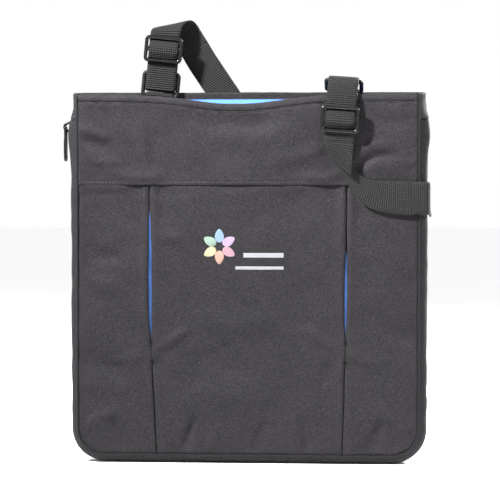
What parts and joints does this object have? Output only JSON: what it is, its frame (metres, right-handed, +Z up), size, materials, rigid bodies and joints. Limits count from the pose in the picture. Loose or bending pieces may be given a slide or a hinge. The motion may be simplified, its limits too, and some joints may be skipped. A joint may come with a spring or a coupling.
{
  "type": "portfolio case",
  "caption": "Flat zip-gusset document tote with open top, lined mouth, pleated front and an adjustable webbing shoulder strap on plastic rings.",
  "frame": {"origin": "centre of the footprint of the whole object, on the surface it stands on", "axes": "+Z up towards the open mouth, -Y out of the pleated front, +X to the right seen from the front"},
  "size_m": [0.3682, 0.0616, 0.4435],
  "materials": {
    "shell_fabric": "matte charcoal 600D polyester plain weave",
    "lining_fabric": "smooth royal blue lining",
    "trim_fabric": "black woven trim",
    "zipper_tape": "black herringbone tape",
    "zipper_coil": "black nylon coil",
    "zip_metal": "black painted metal, worn to a slight sheen",
    "black_plastic": "moulded black plastic, glossy",
    "webbing": "ribbed black polypropylene webbing",
    "emblem_thread": "satin embroidery thread"
  },
  "bodies": {
    "back_half": {"back_panel": "shell_fabric", "back_lining": "lining_fabric", "back_hem_facing": "shell_fabric", "back_gusset": "shell_fabric", "back_piping": "trim_fabric", "zipper_tape_back": "zipper_tape", "zipper_coil_back": "zipper_coil", "zip_end_stops": "zipper_coil", "gusset_cap_left": "shell_fabric", "gusset_cap_right": "shell_fabric", "expansion_bellows": "shell_fabric", "ring_tab_left": "webbing", "ring_tab_right": "webbing", "strap_back_descent": "webbing", "strap_back_fall": "webbing", "strap_back_fold": "webbing", "strap_back_rise": "webbing", "strap_wrap_right": "webbing"},
    "front_half": {"front_panel": "shell_fabric", "front_lining": "lining_fabric", "front_hem_facing": "shell_fabric", "yoke": "shell_fabric", "pocket_left_panel": "shell_fabric", "pocket_centre_panel": "shell_fabric", "pocket_right_panel": "shell_fabric", "pleat_underlay_left": "lining_fabric", "pleat_underlay_right": "lining_fabric", "pleat_tacks": "trim_fabric", "front_gusset": "shell_fabric", "front_piping": "trim_fabric", "zipper_tape_front": "zipper_tape", "zipper_coil_front": "zipper_coil", "emblem": "emblem_thread", "strap_front_run": "webbing"},
    "zip_slider": {"zip_slider": "zip_metal"},
    "zip_puller": {"zip_puller": "zip_metal"},
    "ring_left": {"ring_left": "black_plastic", "strap_end_left": "webbing", "strap_arch_left": "webbing"},
    "ring_right": {"ring_right": "black_plastic", "strap_end_right": "webbing"},
    "adjuster_left": {"adjuster_frame_left": "black_plastic", "adjuster_webbing_left": "webbing"},
    "adjuster_right": {"adjuster_frame_right": "black_plastic", "adjuster_webbing_right": "webbing"}
  },
  "joints": [
    {"name": "front_expand", "type": "hinge", "parent": "back_half", "child": "front_half", "pos_m": [0.00355, 0.0036, 0.3405], "axis": [-1, 0, 0], "range_deg": [0, 4]},
    {"name": "zip_slide", "type": "slide", "parent": "back_half", "child": "zip_slider", "axis": [0, 0, -1], "range_m": [0, 0.29]},
    {"name": "puller_swing", "type": "hinge", "parent": "zip_slider", "child": "zip_puller", "pos_m": [-0.18115, 0.0036, 0.3334], "axis": [0, 1, 0], "range_deg": [-8, 110]},
    {"name": "ring_left_swing", "type": "hinge", "parent": "back_half", "child": "ring_left", "pos_m": [-0.08745, 0.0156, 0.3665], "axis": [0.9954, 0, -0.0958], "range_deg": [0, 60]},
    {"name": "ring_right_swing", "type": "hinge", "parent": "back_half", "child": "ring_right", "pos_m": [0.09805, 0.0156, 0.3715], "axis": [0.9976, 0, -0.0698], "range_deg": [-45, 0]},
    {"name": "adjuster_left_slide", "type": "slide", "parent": "ring_left", "child": "adjuster_left", "axis": [0.0958, 0, 0.9954], "range_m": [-0.0075, 0.0015]},
    {"name": "adjuster_right_slide", "type": "slide", "parent": "ring_right", "child": "adjuster_right", "axis": [-0.0698, 0, -0.9976], "range_m": [-0.003, 0.016]}
  ]
}
